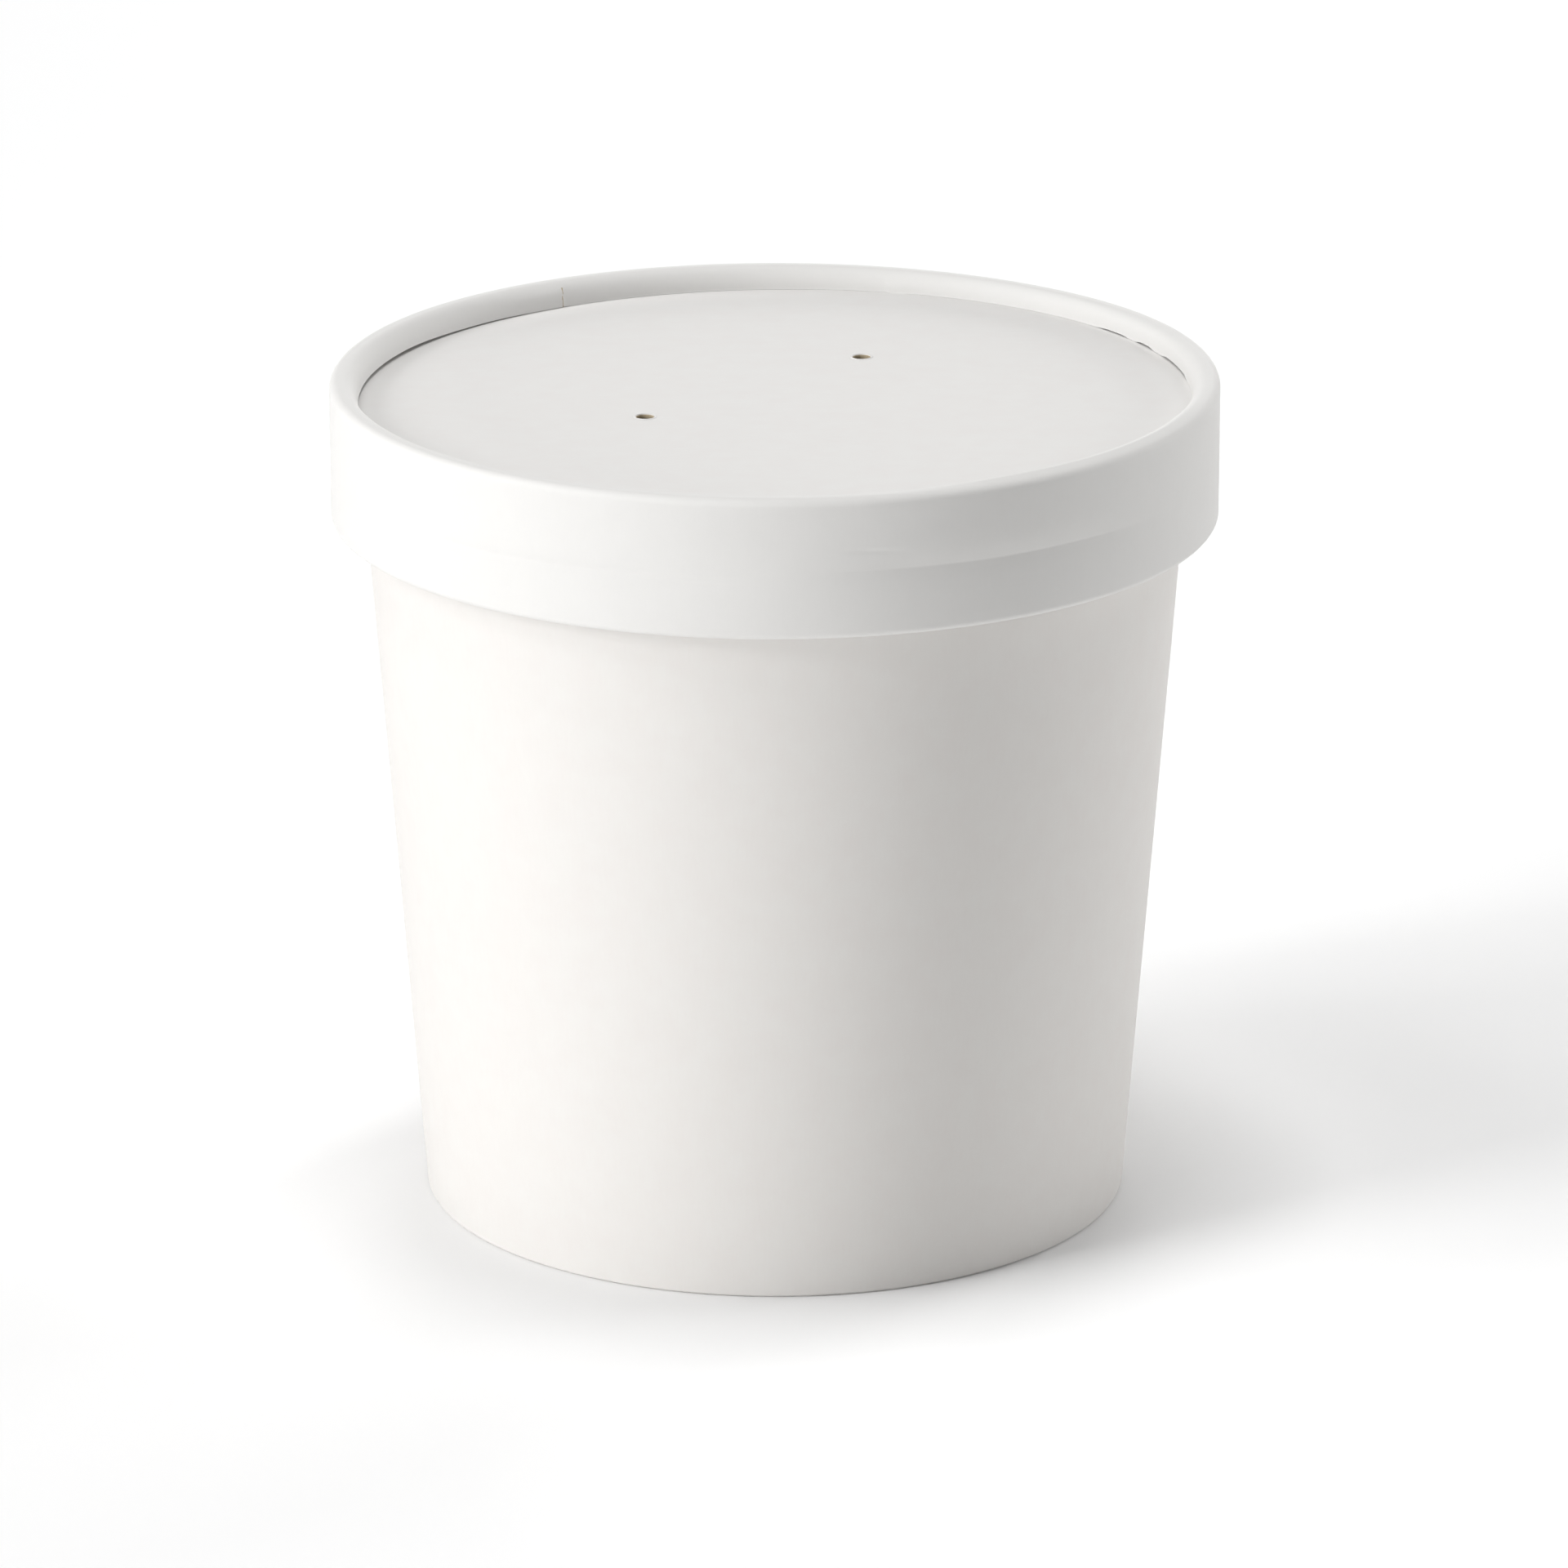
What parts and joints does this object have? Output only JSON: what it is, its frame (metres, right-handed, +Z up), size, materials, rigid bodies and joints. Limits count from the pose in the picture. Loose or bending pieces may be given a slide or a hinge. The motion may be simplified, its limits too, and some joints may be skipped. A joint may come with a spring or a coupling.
{
  "type": "takeaway soup container",
  "caption": "Shut paper soup container: white conical cup with a folded foot and recessed base, closed by a deep white paper lid with a curled bead, flat sunk disc and vent holes.",
  "frame": {"origin": "centre of the foot on the surface that the container stands on", "axes": "+Z up along the axis of the cup, -Y the side seen in the picture, +X to the right of that view"},
  "size_m": [0.094, 0.094, 0.0896],
  "materials": {
    "cup_board": "matte coated board, warm white",
    "base_board": "matte board, warm white",
    "lid_band_board": "matte board, white",
    "lid_disc_board": "matte uncoated board, light grey white"
  },
  "bodies": {
    "root": {"cup": "cup_board", "cup_base": "base_board", "lid_ring": "lid_band_board", "lid_disc": "lid_disc_board"}
  },
  "joints": []
}
